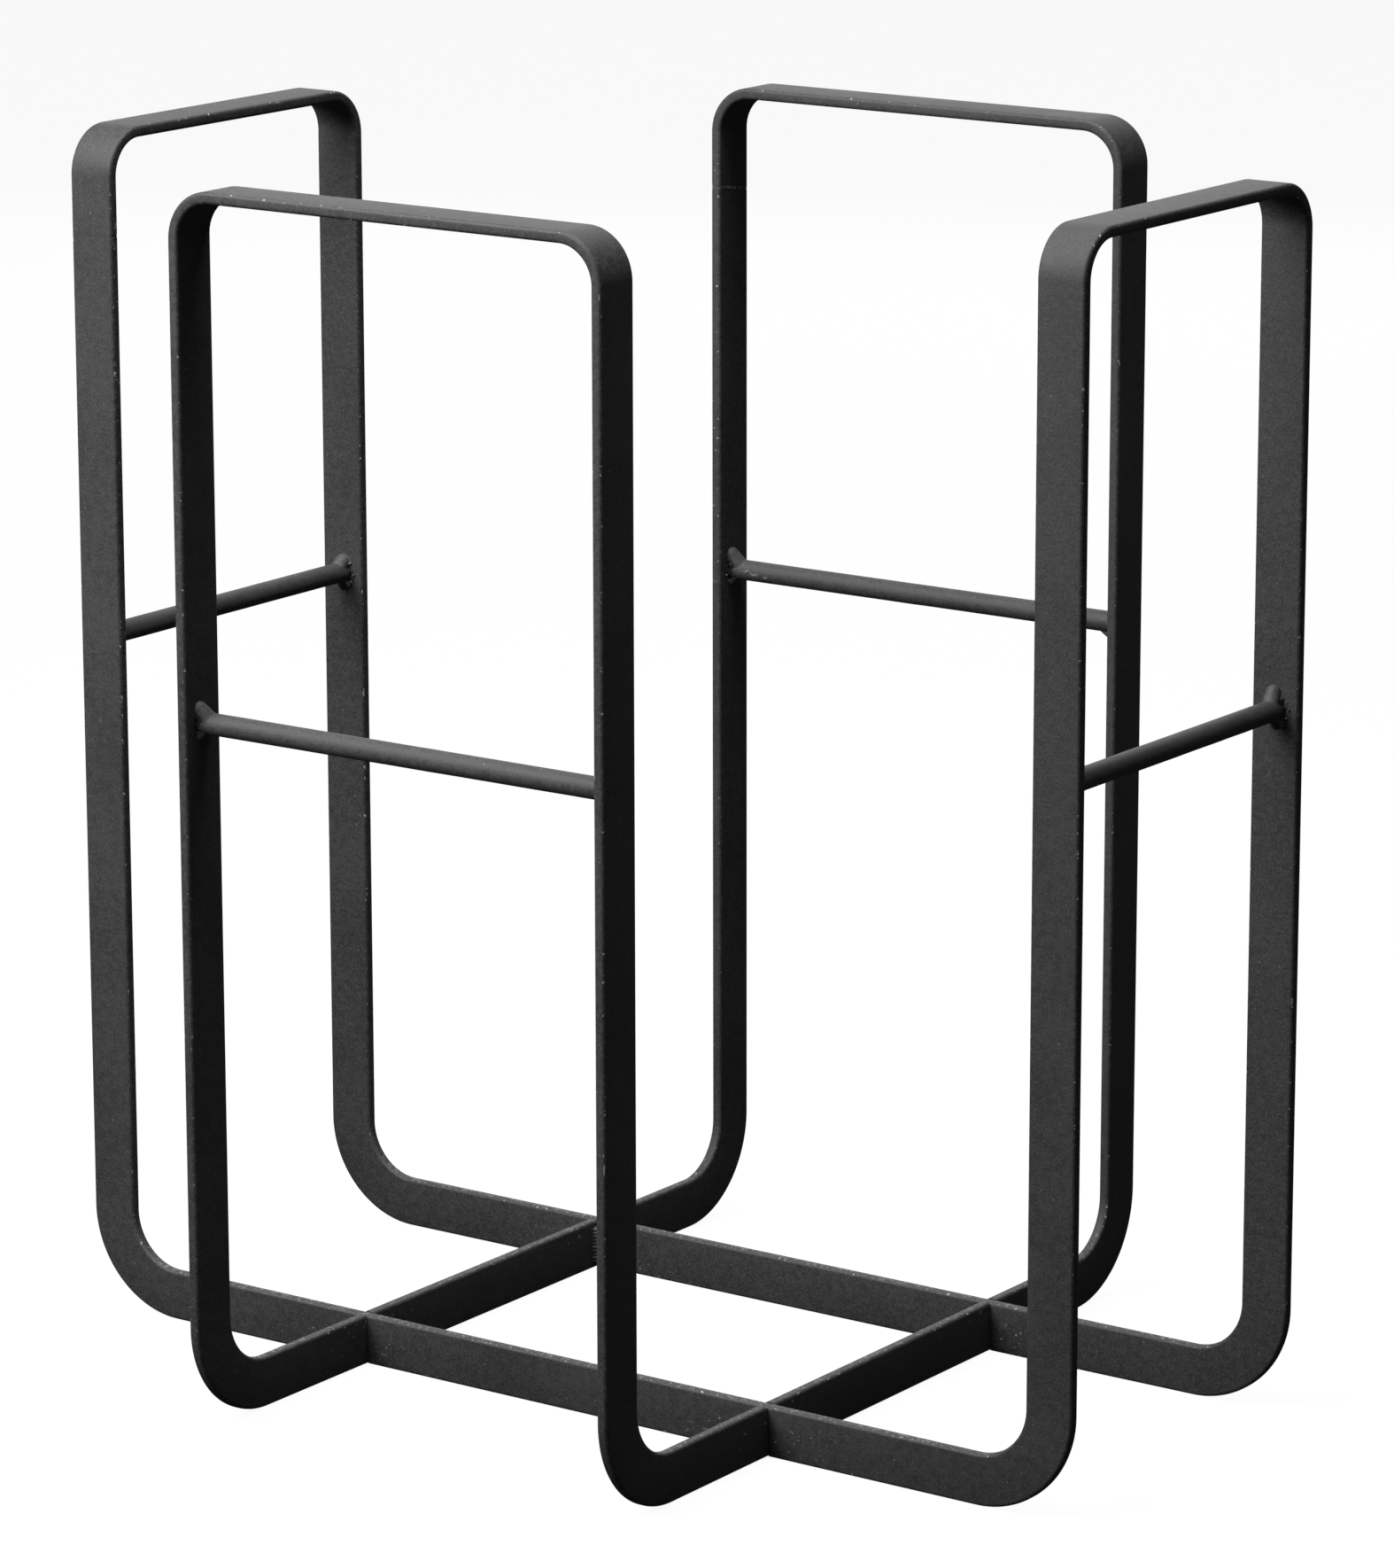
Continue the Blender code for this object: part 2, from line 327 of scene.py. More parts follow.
def powder_coat(name, tone, matt, grain_size, grain_depth, peel_depth):
    """Black powder coat of this tone; a larger matt value is less glossy."""
    w = Wiring(name)
    place = w.add("ShaderNodeTexCoord").outputs["Object"]
    rubbed = w.add("ShaderNodeAttribute", attribute_name="rubbed").outputs["Fac"]
    pale_mark_and_highlight = w.add("ShaderNodeAttribute", attribute_name="pale_mark_and_highlight").outputs["Fac"]
    crater_shade = w.add("ShaderNodeAttribute", attribute_name="crater_shade").outputs["Fac"]

    grain = w.noise(place, grain_size, detail=3.0, roughness=0.65)
    peel = w.noise(place, PEEL_SIZE, detail=2.0)
    drift = w.noise(place, DRIFT_SIZE, detail=3.0)

    slow = w.combine("MULTIPLY", drift, 1 - PEEL_SHARE)
    mottle = w.combine("ADD", slow, w.combine("MULTIPLY", peel, PEEL_SHARE))
    colour = w.blend(w.ramp(mottle, *PATCHES), shade(tone, DARK_PATCH), shade(tone, LIGHT_PATCH))
    colour = w.blend(w.ramp(grain, 0.36, 0.49, 0.55, 0.0), colour, shade(tone, GRAIN_PIT))
    colour = w.blend(w.ramp(grain, 0.52, 0.68, 0.0, 0.48), colour, GRAIN_GREY)

    # Paler grey marks broken up by noise: on the bottom runs' upper sides, and as painted highlights on
    # the seam ridges and the balls of spatter.
    pale_mark_noise = w.noise(place, PALE_MARK_NOISE_SIZE, detail=4.0, roughness=0.7)
    pale_mark_level = w.combine("ADD", pale_mark_noise, w.combine("MULTIPLY", pale_mark_and_highlight, 0.1))
    pale_mark_and_highlight_mask = w.combine("MULTIPLY", w.ramp(pale_mark_level, *PALE_MARK_THRESHOLDS), w.ramp(pale_mark_and_highlight, 0.0, 1.0))
    colour = w.blend(pale_mark_and_highlight_mask, colour, PALE_MARK_AND_HIGHLIGHT_GREY)

    specks = w.add("ShaderNodeTexVoronoi", feature="F1")
    specks.inputs["Scale"].default_value = 1 / DUST_SPACING
    w.join(place, specks.inputs["Vector"])
    dust = w.ramp(specks.outputs["Distance"], DUST_CORE, DUST_RIM, DUST_COVER, 0.0)
    colour = w.blend(dust, colour, DUST_GREY)

    nick = w.noise(place, NICK_SIZE, detail=2.0, roughness=0.6)
    chips = w.combine("MULTIPLY", w.ramp(nick, *NICKS), w.ramp(rubbed, 0.55, 0.95))
    colour = w.blend(chips, colour, CHIP_GREY)
    # Painted shade: near black in and round the weld craters.
    w.join(w.blend(crater_shade, colour, CRATER_SHADE_COLOUR), w.shader.inputs["Base Color"])

    patchy = w.ramp(mottle, *PATCHES, matt - GLOSS_DRIFT, matt + GLOSS_DRIFT)
    gloss = w.combine("ADD", patchy, w.ramp(grain, 0.3, 0.7, -GLOSS_DRIFT, GLOSS_DRIFT))
    gloss = w.combine("SUBTRACT", gloss, w.ramp(rubbed, 0.2, 1.0, 0.0, GLOSS_DRIFT))
    gloss = w.combine("ADD", gloss, w.combine("MULTIPLY", crater_shade, CRATER_SHADE_MATT))
    w.join(gloss, w.shader.inputs["Roughness"])

    flow = w.emboss(peel, peel_depth, 0.7)
    pitted = w.emboss(chips, CHIP_DEPTH, -0.8, flow)
    w.join(w.emboss(grain, grain_depth, 0.8, pitted), w.shader.inputs["Normal"])
    w.shader.inputs["Metallic"].default_value = 0.0
    w.shader.inputs["Specular IOR Level"].default_value = SHINE
    print(f"{name}: {len(w.tree.nodes)} nodes")
    return w.material


bar_coat = powder_coat(
    "powder_coat_on_bar", tone=BLACK, matt=0.68,
    grain_size=0.75 * MM, grain_depth=0.10 * MM, peel_depth=0.14 * MM,
)
# Same coat as on the bars, in a lighter tone on the rods: painted light, not a different coat.
rod_coat = powder_coat(
    "powder_coat_on_rod", tone=BLACK * 1.3, matt=0.68,
    grain_size=0.70 * MM, grain_depth=0.08 * MM, peel_depth=0.10 * MM,
)
# Same coat again, much lighter on the welds: painted light for beads that sit in the uprights' shadow.
bead_coat = powder_coat(
    "powder_coat_on_weld", tone=BLACK * 1.7, matt=0.66,
    grain_size=0.60 * MM, grain_depth=0.08 * MM, peel_depth=0.12 * MM,
)

# %% [markdown]
# ## The two bands
# A band is one long flat bar, rolled with rounded edges, bent and joined end to end. At the top
# it turns the easy way, over its thin side. At the foot it turns the hard way, on edge, so
# that the bottom run stands upright and doesn't sag under the papers.
#
# A band is the same on both sides and both ends, so only a quarter is drawn. The bar's section
# is a plane with its corners bevelled. It is fed along and spun round each bend, exactly as a
# bending machine works, and two mirrors make the rest.

# %% Feed and bend a quarter
EDGE_ROUND = 1.1 * MM
EDGE_STEPS = 6
TOP_BEND = 15 * MM
FOOT_BEND = 33 * MM
TOP_BEND_STEPS = 28
FOOT_BEND_STEPS = 36


def feed(travel):
    """Run the bar straight on from its open end."""
    bpy.ops.mesh.extrude_edges_move(TRANSFORM_OT_translate={"value": travel})


def bend(centre, axis, steps):
    """Turn the bar a quarter round a centre from its open end; spin counts clockwise as positive."""
    bpy.ops.mesh.spin(steps=steps, angle=-QUARTER_TURN, center=centre, axis=axis)


def bar_section(name, span):
    """The bar's rounded outline where a top bar crosses the middle, open like a slice."""
    middle = (0, -span / 2 + bar_width / 2, rack_height - bar_thickness / 2)
    turn = (0, QUARTER_TURN, 0)
    bar = start_piece(name, bpy.ops.mesh.primitive_plane_add, size=1, location=middle, rotation=turn)
    bar.scale = (bar_thickness, bar_width, 1)
    set_in_place(bar)
    edit(bar)
    bpy.ops.mesh.bevel(
        offset_type="OFFSET", offset=EDGE_ROUND, segments=EDGE_STEPS, profile=0.5, affect="VERTICES"
    )
    bpy.ops.mesh.delete(type="ONLY_FACE")
    bpy.ops.mesh.select_all(action="SELECT")
    return bar


def make_band(name, span, loop_width):
    """A closed band whose loops stand at the front and the back."""
    band = bar_section(name, span)
    feed((loop_width / 2 - TOP_BEND, 0, 0))
    bend((loop_width / 2 - TOP_BEND, 0, rack_height - TOP_BEND), (0, 1, 0), TOP_BEND_STEPS)
    feed((0, 0, -(rack_height - TOP_BEND - FOOT_BEND)))
    bend((0, -span / 2 + FOOT_BEND, FOOT_BEND), (1, 0, 0), FOOT_BEND_STEPS)
    feed((0, span / 2 - FOOT_BEND, 0))
    leave_edit()
    print("quarter:", [round(v / MM, 1) for v in band.dimensions])
    apply_modifier(band, "MIRROR", use_axis=(True, True, False), merge_threshold=0.01 * MM)
    face_outwards(band)
    return band


front_size = front_band[1] - front_band[0]
side_size = side_band[1] - side_band[0]
front_back = make_band("front_back_band_coated", span=front_size.y, loop_width=front_size.x)
left_right = make_band("left_right_band_coated", span=side_size.x, loop_width=side_size.y)
edit(left_right)
bpy.ops.transform.rotate(value=QUARTER_TURN, orient_axis="Z", center_override=(0, 0, 0))
leave_edit()

# %% [markdown]
# ## Where the bands cross
# Two bars on edge can only cross at one height if each gives up half of its depth. The lower
# band is slotted from above and the upper one from below, and they slide together like the
# dividers of a crate. A block cuts each slot with a Boolean, a hair wider than the bar.

# %% Cut the half laps
LAP_PLAY = 0.08 * MM
OVERSHOOT = 2 * MM


def cut_slot(band, middle, size, turn=(0, 0, 0)):
    """Cut a box-shaped slot and put the block away."""
    block = start_piece(
        "slot_block", bpy.ops.mesh.primitive_cube_add, size=1, location=middle, rotation=turn
    )
    block.scale = size
    set_in_place(block)
    apply_modifier(band, "BOOLEAN", operation="DIFFERENCE", solver="EXACT", object=block)
    bpy.data.objects.remove(block, do_unlink=True)


crossing_x = front_band[1].x - bar_thickness / 2
crossing_y = side_band[1].y - bar_thickness / 2
lap = bar_thickness + 2 * LAP_PLAY
deep = bar_width / 2 + OVERSHOOT
for side_x in (-1, 1):
    for side_y in (-1, 1):
        x, y = side_x * crossing_x, side_y * crossing_y
        above = bar_width / 2 + deep / 2 - LAP_PLAY / 2
        below = bar_width / 2 - deep / 2 + LAP_PLAY / 2
        cut_slot(front_back, (x, y, above), (lap + OVERSHOOT, lap, deep))
        cut_slot(left_right, (x, y, below), (lap, lap + OVERSHOOT, deep))
print("bars cross at", [round(v / MM, 1) for v in (crossing_x, crossing_y)], "mm from the middle")

# %% [markdown]
# ## The joint that closes each band
# The bent bar's two ends meet on one upright, just under a top bend. The joint is butt welded
# and ground flush on the outside. Inside the loop it is harder to reach, so a low uneven ridge
# stays there, and a painted highlight along it shows it as a thin pale line through the coat.
#
# The band is opened where the CAD has its weld, and the seam is a block that gets the bar's
# rounded corners, is cut into strips and has its inner strips pulled out into a ridge. The
# saw cut was not quite square, so slot and seam both lie a little slanted.

# %% Weld the ends together
SEAM_OPENING = 1.0 * MM
SEAM_HEIGHT = 1.5 * MM
SEAM_INSET = 0.03 * MM
SEAM_SLANT = math.radians(-7.5)
RIDGE = 0.25 * MM
RIDGE_REACH = 0.3  # share of the seam's height, above and below its middle
SEAM_STRIPS = 8
SEAM_BLOCKS = 26
OUTER_CUT = 11  # cuts to each side of the middle
RIDGE_HIGHLIGHT = 2.1


def add_seam(name, node, band, inward):
    """Open the band at the weld, and fill the joint with a seam that is proud on the inward side."""
    low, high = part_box(node)
    middle = (low + high) / 2
    thin_x = abs(inward.x) > 0.5
    across = (bar_thickness, bar_width) if thin_x else (bar_width, bar_thickness)
    slant = Matrix.Rotation(SEAM_SLANT, 4, inward)
    opening = (across[0] + OVERSHOOT, across[1] + OVERSHOOT, SEAM_OPENING)
    cut_slot(band, middle, opening, slant.to_euler())
    seam = start_piece(name, bpy.ops.mesh.primitive_cube_add, size=1, location=middle)
    seam.scale = (across[0] - 2 * SEAM_INSET, across[1] - 2 * SEAM_INSET, SEAM_HEIGHT)
    set_in_place(seam)
    edit(seam, "EDGE")
    pick(lambda edge: abs((edge.verts[0].co - edge.verts[1].co).z) > SEAM_HEIGHT / 2, "edges")
    bpy.ops.mesh.bevel(offset=EDGE_ROUND - SEAM_INSET, segments=EDGE_STEPS, profile=0.5, affect="EDGES")
    for step in range(1, SEAM_STRIPS):
        bpy.ops.mesh.select_all(action="SELECT")
        level = middle.z + SEAM_HEIGHT * (step / SEAM_STRIPS - 0.5)
        bpy.ops.mesh.bisect(plane_co=(0, 0, level), plane_no=(0, 0, 1))
    along = Vector((abs(inward.y), abs(inward.x), 0))
    cuts = range(-OUTER_CUT, OUTER_CUT + 1)
    for step in cuts:
        bpy.ops.mesh.select_all(action="SELECT")
        spot = middle + along * step * bar_width / SEAM_BLOCKS
        bpy.ops.mesh.bisect(plane_co=spot, plane_no=along)
    bpy.ops.mesh.select_mode(type="VERT")
    dice = random.Random(name)
    face = bar_thickness / 2 - SEAM_INSET - 0.01 * MM

    def on_ridge(place):
        """Is this point on the inward face, near the seam's middle height?"""
        from_middle = place - middle
        return from_middle.dot(inward) > face and abs(from_middle.z) < SEAM_HEIGHT * RIDGE_REACH

    for step in cuts:
        here = middle + along * step * bar_width / SEAM_BLOCKS
        pick(lambda v: on_ridge(v.co) and abs((v.co - here).dot(along)) < 0.1 * MM)
        fade = min(1.0, (OUTER_CUT + 1 - abs(step)) / 3)
        bpy.ops.transform.translate(value=inward * RIDGE * dice.uniform(0.45, 1.0) * fade)
    leave_edit()
    # A painted highlight makes the ridge a pale line.
    pale_mark_and_highlight = seam.data.attributes.new("pale_mark_and_highlight", "FLOAT", "POINT")
    for vertex in seam.data.vertices:
        pale_mark_and_highlight.data[vertex.index].value = RIDGE_HIGHLIGHT if on_ridge(vertex.co) else 0.0
    seam.matrix_world = Matrix.Translation(middle) @ slant @ Matrix.Translation(-middle)
    set_in_place(seam)
    smooth_shading(seam, 60)
    return seam


RIGHT = Vector((1, 0, 0))
BACK = Vector((0, 1, 0))
front_back_seam = add_seam("front_back_seam", "front_back_band_butt_weld", front_back, RIGHT)
left_right_seam = add_seam("left_right_seam", "left_right_band_butt_weld", left_right, BACK)

# %% [markdown]
# ## Mark the rubbed edges and the pale tops
# The coat is thinnest on the rounded edges. A point there faces half way between the wide side
# and the thin side of the bar, so its normal says how far round the edge it is. The upward-facing
# parts of the bottom runs are marked for paler grey, more the more they face up.

# %% Store the rubbed edges and pale tops on the bands
def mark_edges_and_pale_tops(band, thin_way):
    """Write the rubbed attribute and the paler grey mark on upward-facing bottom runs; the thin side
    faces thin_way above the foot bends.
    """
    mesh = band.data
    rubbed = mesh.attributes.new("rubbed", "FLOAT", "POINT")
    pale_mark_and_highlight = mesh.attributes.new("pale_mark_and_highlight", "FLOAT", "POINT")
    wide_way = Vector((thin_way.y, thin_way.x, 0))
    for vertex, normal in zip(mesh.vertices, mesh.vertex_normals):
        at_foot = vertex.co.z < FOOT_BEND
        part = abs(normal.vector.dot(wide_way if at_foot else thin_way))
        rubbed.data[vertex.index].value = 2 * part * math.sqrt(max(0.0, 1 - part * part))
        # Paler grey marks on the upward-facing parts of the bottom runs.
        over_floor = at_foot and vertex.co.z > bar_width / 2
        pale_mark_and_highlight.data[vertex.index].value = max(0.0, normal.vector.z) if over_floor else 0.0


for band, thin_way in ((front_back, BACK), (left_right, RIGHT)):
    mark_edges_and_pale_tops(band, thin_way)
    smooth_shading(band, 35)
hand_in(front_back, bar_coat, "bar_coat", "front_back_band")
hand_in(left_right, bar_coat, "bar_coat", "left_right_band")
hand_in(front_back_seam, bar_coat, "weld_coat", "front_back_band_butt_weld")
hand_in(left_right_seam, bar_coat, "weld_coat", "left_right_band_butt_weld")

# %% [markdown]
# ## The rods
# Each loop is braced by a piece of drawn round wire, cropped to length. Cropping leaves a small
# chamfer, and the coat gathers a little unevenly along it. A cylinder gets bevelled ends and is
# cut into short lengths, and a soft displacement gives the skin its slight unevenness.

# %% Crop and coat the rods
ROD_SIDES = 48
ROD_CHAMFER = 0.4 * MM
RING_SPACING = 4 * MM
SKIN_LUMP = 9 * MM
SKIN_DEPTH = 0.09 * MM
SPATTER_RADIUS = 0.45 * MM
SPATTER_HIGHLIGHT = 2.0


def cloud_texture(name, size):
    """A cloud pattern with lumps of about this size, for displacement."""
    texture = bpy.data.textures.new(name, "CLOUDS")
    texture.noise_scale = size
    texture.noise_depth = 2
    return texture


def add_spatter(rod, spots, radius):
    """Fuse balls of spatter to the rod, and mark them for a painted highlight."""
    for spot in spots:
        ball = start_piece(
            "spatter", bpy.ops.mesh.primitive_ico_sphere_add,
            subdivisions=3, radius=radius, location=spot,
        )
        set_in_place(ball)
        apply_modifier(rod, "BOOLEAN", operation="UNION", solver="EXACT", object=ball)
        bpy.data.objects.remove(ball, do_unlink=True)
    # The balls are painted pale grey: a painted highlight.
    pale_mark_and_highlight = rod.data.attributes.new("pale_mark_and_highlight", "FLOAT", "POINT")
    for vertex in rod.data.vertices:
        on_ball = any((vertex.co - spot).length < 1.05 * radius for spot in spots)
        pale_mark_and_highlight.data[vertex.index].value = SPATTER_HIGHLIGHT if on_ball else 0.0


def make_rod(name, node):
    """A rod between the inner faces of its loop's uprights."""
    low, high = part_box(node)
    along_x = high.x - low.x > high.y - low.y
    length = max(high.x - low.x, high.y - low.y) + 2 * FITTING_GAP
    turn = (0, QUARTER_TURN, 0) if along_x else (QUARTER_TURN, 0, 0)
    rod = start_piece(
        name, bpy.ops.mesh.primitive_cylinder_add,
        vertices=ROD_SIDES, radius=rod_radius, depth=length, location=(low + high) / 2, rotation=turn,
    )
    set_in_place(rod)
    edit(rod, "EDGE")
    direction = RIGHT if along_x else BACK
    pick(lambda edge: abs((edge.verts[0].co - edge.verts[1].co).dot(direction)) < MM, "edges")
    bpy.ops.mesh.bevel(offset=ROD_CHAMFER, segments=3, profile=0.5, affect="EDGES")
    middle = (low + high) / 2
    rings = int(length / RING_SPACING)
    for step in range(1, rings):
        bpy.ops.mesh.select_all(action="SELECT")
        spot = middle + direction * (step / rings - 0.5) * length
        bpy.ops.mesh.bisect(plane_co=spot, plane_no=direction)
    leave_edit()
    apply_modifier(
        rod, "DISPLACE", texture=cloud_texture("skin", SKIN_LUMP), texture_coords="LOCAL",
        strength=SKIN_DEPTH, mid_level=0.5,
    )
    return rod


SIDES = ("front", "back", "left", "right")
rods = {side: make_rod(f"{side}_rod_coated", f"{side}_rod") for side in SIDES}

# Three balls lie along the back rod near its left end: distance along it, and turn round it.
BACK_ROD_SPATTER = ((7.5 * MM, -0.1), (10 * MM, 0.2), (14.5 * MM, 0.35))
rod_low, rod_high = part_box("back_rod")
left_end = Vector((rod_low.x, (rod_low.y + rod_high.y) / 2, (rod_low.z + rod_high.z) / 2))
spots = []
for along, turn in BACK_ROD_SPATTER:
    out = -rod_radius * math.cos(turn)
    drop = -rod_radius * math.sin(turn)
    spots.append(left_end + Vector((along, out, drop)))
add_spatter(rods["back"], spots, SPATTER_RADIUS)
for side, rod in rods.items():
    smooth_shading(rod, 40)
    hand_in(rod, rod_coat, "rod_coat", f"{side}_rod")

# %% [markdown]
# ## The beads at the rod ends
# A welder tacks each rod with one fat bead over it, a thick finger that slants from the bar down
# to the rod. Some metal sags below, and under the back rod's right end it has run a long way.
# Craters stay where the arc stopped, and balls of spatter stick around them. The coat has
# swallowed all of that and rounded it off. Painted shade darkens the craters and the ground
# round them to near black, and a painted highlight makes the balls pale.
#
# A thin hollow ring is drawn out from the rod's skin, with a skirt that dips below the skins of
# rod and bar, so that it rises out of them without a step. Its lobes are swollen and its lumps
# pulled with proportional editing, and the fingers, the sagged run and the spatter balls are
# joined in. Remeshing fuses it into one skin, as molten metal would, and the craters are pressed
# in afterwards. No two beads are alike, so each has its own dice.

# %% Pull a lump, press a pit, swell a lobe
LOBE_HALF_ANGLE = 0.3


def outward_at(angle):
    """The way out from the rod's middle at this angle round it, in the bead's own axes."""
    return Vector((math.cos(angle), math.sin(angle), 0))


def nudge(place, travel, reach):
    """Move the point nearest to a place, and drag its neighbours softly with it."""
    work = bmesh.from_edit_mesh(bpy.context.object.data)
    nearest = min(work.verts, key=lambda vertex: (vertex.co - place).length_squared)
    bpy.ops.mesh.select_all(action="DESELECT")
    nearest.select_set(True)
    bmesh.update_edit_mesh(bpy.context.object.data)
    bpy.ops.transform.translate(
        value=travel,
        use_proportional_edit=True, proportional_edit_falloff="SMOOTH", proportional_size=reach,
    )


def swell_lobe(angle, growth, spread):
    """Grow the fillet away from its root at this angle round the rod."""
    outward = outward_at(angle)
    pick(lambda vertex: vertex.co.xy.normalized().dot(outward.xy) > math.cos(LOBE_HALF_ANGLE))
    bpy.ops.transform.resize(
        value=growth, center_override=outward * rod_radius,
        use_proportional_edit=True, proportional_edit_falloff="SMOOTH", proportional_size=spread,
    )


# %% Draw out the fillet
BEAD_SIDES = 96
BEAD_STEPS = 12
BEAD_LEG = 1.3 * MM
SKIRT = 0.3 * MM
DIP = 0.1 * MM
SUNK = 0.25 * MM
BEAD_CELL = 0.13 * MM
PROUD = 0.35 * MM
FINGER_GIRTH = 2.4 * MM
FINGER_FLARE = 1.2
SMALL_GIRTH = 1.2 * MM
RUN_GIRTH = 1.6 * MM
RUN_TAPER = 0.85
LUMPS = 10
BALLS = 5
PITS = 6
CRATER_REACH = 1.5 * MM
CRATER_SHADE_REACH = 2.7 * MM


def ring_out(now, then):
    """One more ring of the bead: extrude, lift, and widen or narrow. A ring is (radius, height)."""
    bpy.ops.mesh.extrude_edges_move(TRANSFORM_OT_translate={"value": (0, 0, then[1] - now[1])})
    grow = then[0] / now[0]
    bpy.ops.transform.resize(value=(grow, grow, 1), center_override=(0, 0, 0))


def draw_fillet(name):
    """A hollow-faced ring round the Z axis, flat side down."""
    toe = rod_radius + BEAD_LEG
    rings = [(rod_radius - SUNK, -SUNK), (toe + SKIRT, -SUNK), (toe + SKIRT, -DIP)]
    for step in range(BEAD_STEPS + 1):
        angle = QUARTER_TURN * step / BEAD_STEPS
        rings.append((toe - BEAD_LEG * math.sin(angle), BEAD_LEG * (1 - math.cos(angle))))
    rings += [(rod_radius - DIP, BEAD_LEG + SKIRT), (rod_radius - SUNK, BEAD_LEG + SKIRT)]
    bead = start_piece(
        name, bpy.ops.mesh.primitive_circle_add, vertices=BEAD_SIDES,
        radius=rings[0][0], fill_type="NOTHING", location=(0, 0, rings[0][1]),
    )
    set_in_place(bead)
    edit(bead, "EDGE")
    for now, then in zip(rings, rings[1:] + rings[:1]):
        ring_out(now, then)
    leave_edit()
    face_outwards(bead)
    return bead


# %% Shape one bead and set it in place
def fuse(bead):
    """Melt crossing shells into one skin, and throw away any bubble that the grid left inside."""
    apply_modifier(bead, "REMESH", mode="VOXEL", voxel_size=BEAD_CELL)
    edit(bead)
    outermost = max(bead.data.vertices, key=lambda vertex: vertex.co.x).index
    pick(lambda vertex: vertex.index == outermost)
    bpy.ops.mesh.select_linked()
    bpy.ops.mesh.select_all(action="INVERT")
    bpy.ops.mesh.delete(type="VERT")
    leave_edit()


def add_ball(place, radius):
    """A small ball of spatter."""
    ball = start_piece(
        "ball", bpy.ops.mesh.primitive_ico_sphere_add, subdivisions=3, radius=radius, location=place
    )
    set_in_place(ball)
    return ball


def add_finger(angle, foot_height, rod_reach, girth, flare):
    """A round-ended ridge of weld that slants from the bar down to the rod's skin.

    It starts this high over the rod and ends this far along it, where its girth has grown or
    shrunk by the flare.
    """
    outward = outward_at(angle)
    top = outward * (rod_radius + foot_height - girth)
    end = outward * (rod_radius + PROUD - girth * flare) + UP * rod_reach
    finger = start_piece(
        "finger", bpy.ops.mesh.primitive_uv_sphere_add, segments=24, ring_count=16, radius=girth
    )
    edit(finger)
    pick(lambda vertex: vertex.co.z > -0.01 * MM)
    bpy.ops.transform.translate(value=(0, 0, (end - top).length))
    pick(lambda vertex: vertex.co.z > girth)
    bpy.ops.transform.resize(value=(flare, flare, 1), center_override=(0, 0, 0))
    leave_edit()
    finger.location = top
    finger.rotation_mode = "QUATERNION"
    finger.rotation_quaternion = (end - top).to_track_quat("Z", "Y")
    set_in_place(finger)
    return finger


def place_bead(bead, node, away):
    """Stand the bead on its upright, with its X axis up and its Z axis along the rod."""
    low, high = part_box(node)
    on_face = (low + high) / 2 - away * (abs((high - low).dot(away)) / 2 + FITTING_GAP)
    across = away.cross(UP)
    bead.matrix_world = Matrix.Translation(on_face) @ Matrix((UP, across, away)).transposed().to_4x4()
    set_in_place(bead)


def paint_bead(bead, craters, balls):
    """Write the painted shade in and round its craters, and the painted highlight on its balls of
    spatter.
    """
    crater_shade = bead.data.attributes.new("crater_shade", "FLOAT", "POINT")
    pale_mark_and_highlight = bead.data.attributes.new("pale_mark_and_highlight", "FLOAT", "POINT")
    # Painted shade near black in and round each crater, and a painted highlight on the balls.
    for vertex in bead.data.vertices:
        nearest = min((vertex.co - crater).length for crater in craters)
        crater_shade_amount = max(0.0, min(1.0, 2.2 * (1 - nearest / CRATER_SHADE_REACH)))
        on_ball = any((vertex.co - spot).length < 1.1 * radius for spot, radius in balls)
        crater_shade.data[vertex.index].value = 0.0 if on_ball else crater_shade_amount
        pale_mark_and_highlight.data[vertex.index].value = 1.0 if on_ball else 0.0


